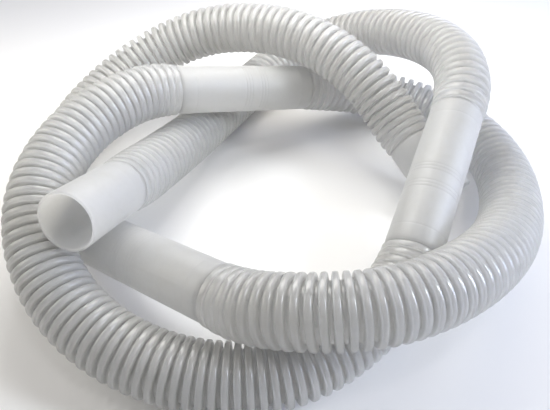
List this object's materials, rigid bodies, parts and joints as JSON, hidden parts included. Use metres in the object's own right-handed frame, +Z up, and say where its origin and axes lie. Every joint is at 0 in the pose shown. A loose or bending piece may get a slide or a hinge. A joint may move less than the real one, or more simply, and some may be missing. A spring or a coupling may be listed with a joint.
{
  "type": "vacuum hose",
  "caption": "Corrugated plastic pool vacuum hose with smooth cuffs, lying in a loose knotted loop with one free end that flexes.",
  "frame": {"origin": "centre of the bounding box's bottom face, on the floor under the middle of the loop", "axes": "+Z up; +X to the viewer's right and +Y away from the viewer, who stands at the open mouth's side"},
  "size_m": [0.4455, 0.4414, 0.1217],
  "materials": {
    "hose_wall": "translucent white, satin gloss",
    "cuff_wall": "translucent white, smooth satin gloss"
  },
  "bodies": {
    "lying_hose": {"corrugated_length_1": "hose_wall", "double_cuff_1": "cuff_wall", "corrugated_length_2": "hose_wall", "double_cuff_2": "cuff_wall", "corrugated_length_3": "hose_wall", "double_cuff_3": "cuff_wall", "corrugated_length_4": "hose_wall", "end_cuff_b": "cuff_wall"},
    "tail_ring_1": {"tail_ring_1": "hose_wall"},
    "tail_ring_2": {"tail_ring_2": "hose_wall"},
    "tail_ring_3": {"tail_ring_3": "hose_wall"},
    "tail_ring_4": {"tail_ring_4": "hose_wall"},
    "tail_ring_5": {"tail_ring_5": "hose_wall"},
    "tail_ring_6": {"tail_ring_6": "hose_wall"},
    "tail_ring_7": {"tail_ring_7": "hose_wall"},
    "tail_ring_8": {"tail_ring_8": "hose_wall"},
    "tail_ring_9": {"tail_ring_9": "hose_wall"},
    "tail_ring_10": {"tail_ring_10": "hose_wall"},
    "tail_ring_11": {"tail_ring_11": "hose_wall"},
    "tail_ring_12": {"tail_ring_12": "hose_wall"},
    "free_cuff": {"end_cuff_a": "cuff_wall"}
  },
  "joints": [
    {"name": "free_end_lift_1", "type": "hinge", "parent": "lying_hose", "child": "tail_ring_1", "pos_m": [-0.09177, 0.00778, 0.04222], "axis": [-0.9389, 0.3442, 0], "range_deg": [0, 4], "stiffness_Nm_per_rad": 1.5},
    {"name": "free_end_swing_1", "type": "hinge", "parent": "tail_ring_1", "child": "tail_ring_2", "pos_m": [-0.09407, 0.00144, 0.04412], "axis": [-0.2309, 0.358, 0.9047], "range_deg": [0, 4], "stiffness_Nm_per_rad": 1.5},
    {"name": "free_end_lift_2", "type": "hinge", "parent": "tail_ring_2", "child": "tail_ring_3", "pos_m": [-0.09634, -0.00488, 0.04607], "axis": [-0.9422, 0.3351, 0], "range_deg": [0, 4], "stiffness_Nm_per_rad": 1.5},
    {"name": "free_end_swing_2", "type": "hinge", "parent": "tail_ring_3", "child": "tail_ring_4", "pos_m": [-0.09857, -0.01121, 0.04807], "axis": [-0.2295, 0.3688, 0.9007], "range_deg": [0, 4], "stiffness_Nm_per_rad": 1.5},
    {"name": "free_end_lift_3", "type": "hinge", "parent": "tail_ring_4", "child": "tail_ring_5", "pos_m": [-0.10078, -0.01753, 0.05011], "axis": [-0.945, 0.3271, 0], "range_deg": [0, 4], "stiffness_Nm_per_rad": 1.5},
    {"name": "free_end_swing_3", "type": "hinge", "parent": "tail_ring_5", "child": "tail_ring_6", "pos_m": [-0.10295, -0.02385, 0.05221], "axis": [-0.2284, 0.3799, 0.8964], "range_deg": [0, 4], "stiffness_Nm_per_rad": 1.5},
    {"name": "free_end_lift_4", "type": "hinge", "parent": "tail_ring_6", "child": "tail_ring_7", "pos_m": [-0.10508, -0.03016, 0.05437], "axis": [-0.9482, 0.3177, 0], "range_deg": [0, 4], "stiffness_Nm_per_rad": 1.5},
    {"name": "free_end_swing_4", "type": "hinge", "parent": "tail_ring_7", "child": "tail_ring_8", "pos_m": [-0.10717, -0.03645, 0.05659], "axis": [-0.2269, 0.3944, 0.8905], "range_deg": [0, 4], "stiffness_Nm_per_rad": 1.5},
    {"name": "free_end_lift_5", "type": "hinge", "parent": "tail_ring_8", "child": "tail_ring_9", "pos_m": [-0.10922, -0.04274, 0.05889], "axis": [-0.9518, 0.3066, 0], "range_deg": [0, 4], "stiffness_Nm_per_rad": 1.5},
    {"name": "free_end_swing_5", "type": "hinge", "parent": "tail_ring_9", "child": "tail_ring_10", "pos_m": [-0.11122, -0.04902, 0.06127], "axis": [-0.2254, 0.4121, 0.8828], "range_deg": [0, 4], "stiffness_Nm_per_rad": 1.5},
    {"name": "free_end_lift_6", "type": "hinge", "parent": "tail_ring_10", "child": "tail_ring_11", "pos_m": [-0.11316, -0.05527, 0.06374], "axis": [-0.9559, 0.2936, 0], "range_deg": [0, 4], "stiffness_Nm_per_rad": 1.5},
    {"name": "free_end_swing_6", "type": "hinge", "parent": "tail_ring_11", "child": "tail_ring_12", "pos_m": [-0.11505, -0.06151, 0.06629], "axis": [-0.2242, 0.4308, 0.8741], "range_deg": [0, 4], "stiffness_Nm_per_rad": 1.5},
    {"name": "free_end_lift_7", "type": "hinge", "parent": "tail_ring_12", "child": "free_cuff", "pos_m": [-0.11692, -0.06773, 0.06889], "axis": [-0.9578, 0.2873, 0], "range_deg": [0, 4], "stiffness_Nm_per_rad": 1.5}
  ],
  "couplings": [
    {"joint": "free_end_lift_2", "follows": "free_end_lift_1", "ratio": 1},
    {"joint": "free_end_lift_3", "follows": "free_end_lift_1", "ratio": 1},
    {"joint": "free_end_lift_4", "follows": "free_end_lift_1", "ratio": 1},
    {"joint": "free_end_lift_5", "follows": "free_end_lift_1", "ratio": 1},
    {"joint": "free_end_lift_6", "follows": "free_end_lift_1", "ratio": 1},
    {"joint": "free_end_lift_7", "follows": "free_end_lift_1", "ratio": 1},
    {"joint": "free_end_swing_2", "follows": "free_end_swing_1", "ratio": 1},
    {"joint": "free_end_swing_3", "follows": "free_end_swing_1", "ratio": 1},
    {"joint": "free_end_swing_4", "follows": "free_end_swing_1", "ratio": 1},
    {"joint": "free_end_swing_5", "follows": "free_end_swing_1", "ratio": 1},
    {"joint": "free_end_swing_6", "follows": "free_end_swing_1", "ratio": 1}
  ]
}
